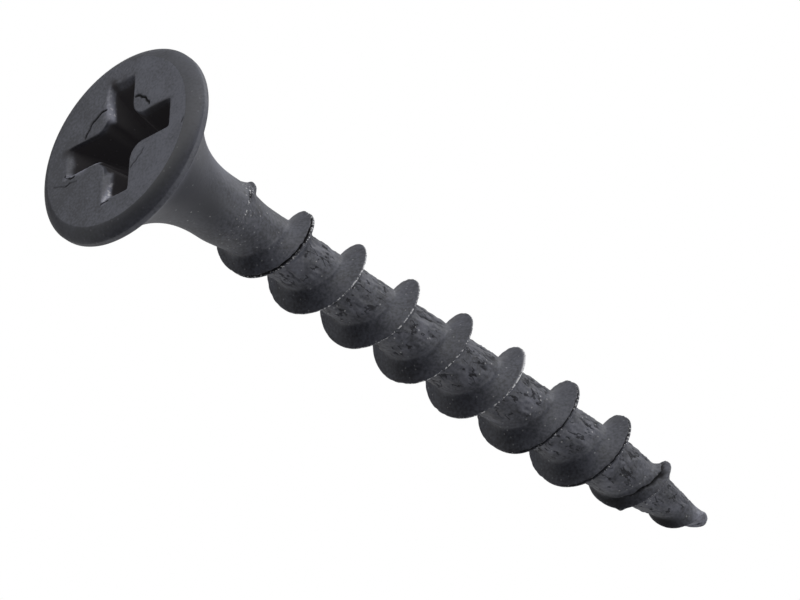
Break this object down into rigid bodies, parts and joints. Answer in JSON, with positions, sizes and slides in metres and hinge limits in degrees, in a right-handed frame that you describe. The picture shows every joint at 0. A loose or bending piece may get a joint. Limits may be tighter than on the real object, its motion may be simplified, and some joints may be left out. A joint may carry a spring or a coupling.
{
  "type": "wood screw",
  "caption": "Trumpet-headed cross-recess wood screw with a plain neck, a coarse steep thread and a tapering blunt point, in dark phosphated steel.",
  "frame": {"origin": "centre of the head's flush face, on the screw's axis", "axes": "+Z along the screw's axis out of the head, so the point is toward -Z; +X and +Y run along two wings of the cross recess"},
  "size_m": [0.008, 0.008, 0.032],
  "materials": {
    "head": "matt black phosphate on steel",
    "neck": "matt black phosphate on steel",
    "thread": "matt black phosphate on steel, rubbed lighter on the crest",
    "point": "matt black phosphate on steel, worn to grey metal at the end"
  },
  "bodies": {
    "root": {"head": "head", "neck": "neck", "thread": "thread", "point": "point"}
  },
  "joints": []
}
